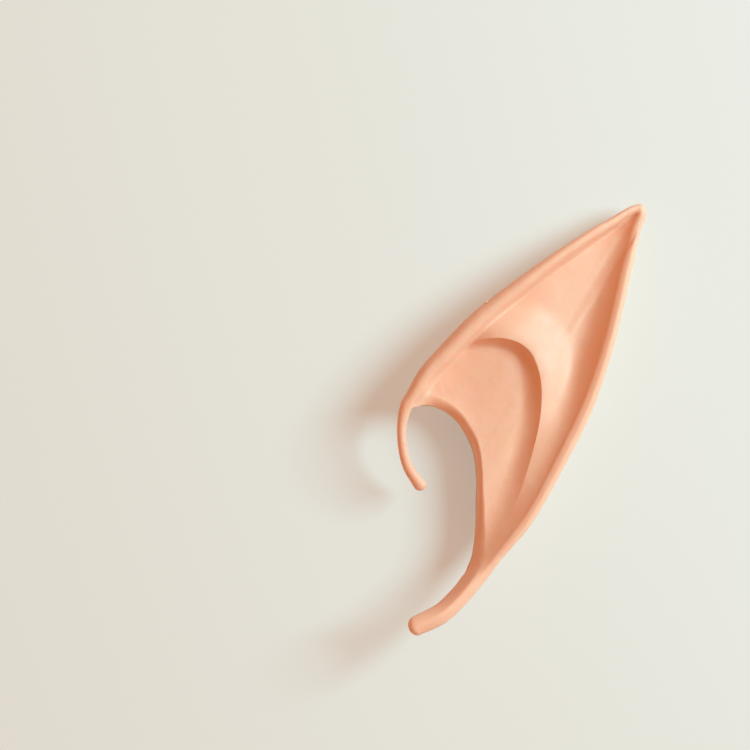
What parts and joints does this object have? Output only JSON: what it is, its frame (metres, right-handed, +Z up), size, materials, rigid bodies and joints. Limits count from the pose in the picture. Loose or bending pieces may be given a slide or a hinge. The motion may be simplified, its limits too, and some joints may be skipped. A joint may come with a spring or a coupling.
{
  "type": "elf ear tip",
  "caption": "Slip-on pointed ear tip in soft cast latex, with a hollow back for the wearer's ear, a hook in front and a tail below.",
  "frame": {"origin": "on the surface it lies on, under the middle of its plan outline", "axes": "+Z up, out of the sculpted front; +Y along the ear, from the tail towards the point; +X from the hook towards the point"},
  "size_m": [0.0616, 0.106, 0.0198],
  "materials": {
    "latex": "matte cast latex, flesh coloured"
  },
  "bodies": {
    "root": {"ear_tip": "latex"}
  },
  "joints": []
}
